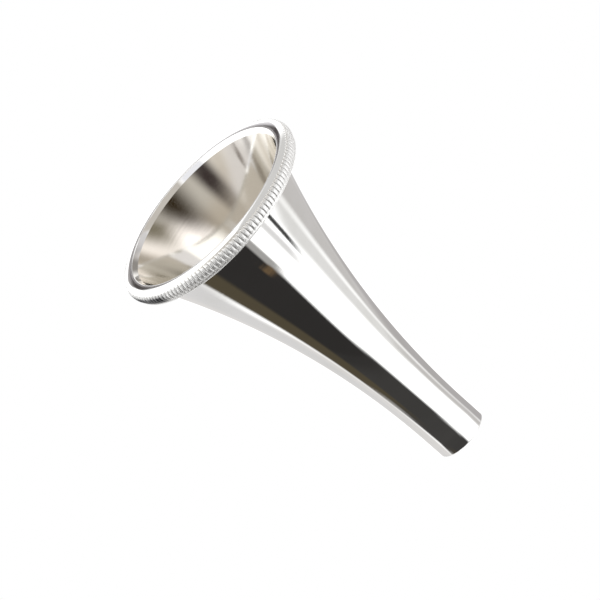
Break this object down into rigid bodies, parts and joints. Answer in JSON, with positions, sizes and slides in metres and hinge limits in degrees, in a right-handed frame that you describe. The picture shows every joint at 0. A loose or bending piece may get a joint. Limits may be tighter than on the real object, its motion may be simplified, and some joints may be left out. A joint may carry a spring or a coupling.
{
  "type": "ear speculum",
  "caption": "Trumpet-shaped metal ear speculum: a thin tapering funnel open at both ends, with a rounded ring and a band of cross milling round its wide mouth.",
  "frame": {"origin": "centre of the ring's front face, on the flat land that the speculum stands on", "axes": "+Z along the funnel's axis from the mouth to the tip; X and Y lie in the ring's front face, where all directions are alike"},
  "size_m": [0.0234, 0.0234, 0.038],
  "materials": {
    "funnel_plating": "mirror-bright nickel or chrome plating outside, satin and slightly warmer inside",
    "ring_plating": "mirror-bright plating, cross milled on the outer band",
    "solder": "wiped soft solder, plated over, a little duller than the rest"
  },
  "bodies": {
    "root": {"funnel_shell": "funnel_plating", "milled_ring": "ring_plating", "solder_seam": "solder"}
  },
  "joints": []
}
